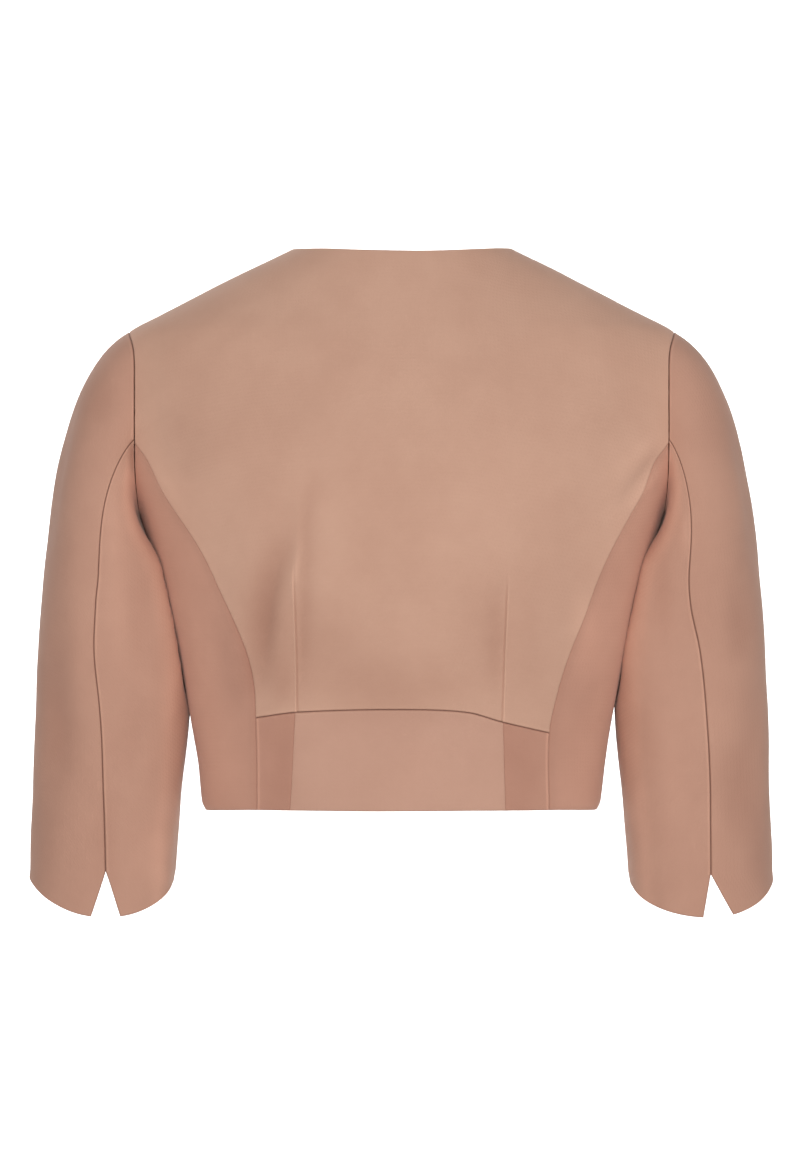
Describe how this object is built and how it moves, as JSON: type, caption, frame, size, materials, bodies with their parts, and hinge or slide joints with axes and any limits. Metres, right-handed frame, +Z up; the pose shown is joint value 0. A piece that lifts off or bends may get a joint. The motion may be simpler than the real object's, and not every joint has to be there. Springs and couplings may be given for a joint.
{
  "type": "bolero jacket",
  "caption": "Cropped bolero jacket in dusty rose crepe with a wide level neck, princess seams, a seamed band at the small of the back and sleeves with a notched hem.",
  "frame": {"origin": "middle of the neck opening, level with the inner ends of the shoulder seams, where the jacket is held up by the wearer's shoulders", "axes": "+Z up, +Y towards the back of the jacket, -Y towards its front, +X towards the wearer's left"},
  "size_m": [0.5366, 0.2327, 0.4799],
  "materials": {
    "body_cloth": "matte dusty rose crepe",
    "side_cloth": "matte dusty rose crepe",
    "band_cloth": "matte dusty rose crepe",
    "sleeve_cloth": "matte dusty rose crepe"
  },
  "bodies": {
    "root": {"back_middle": "body_cloth", "back_side_left": "side_cloth", "back_side_right": "side_cloth", "band_middle": "band_cloth", "band_left": "side_cloth", "band_right": "side_cloth", "front_left": "body_cloth", "front_right": "body_cloth", "upper_sleeve_left": "sleeve_cloth", "under_sleeve_left": "sleeve_cloth", "upper_sleeve_right": "sleeve_cloth", "under_sleeve_right": "sleeve_cloth"}
  },
  "joints": []
}
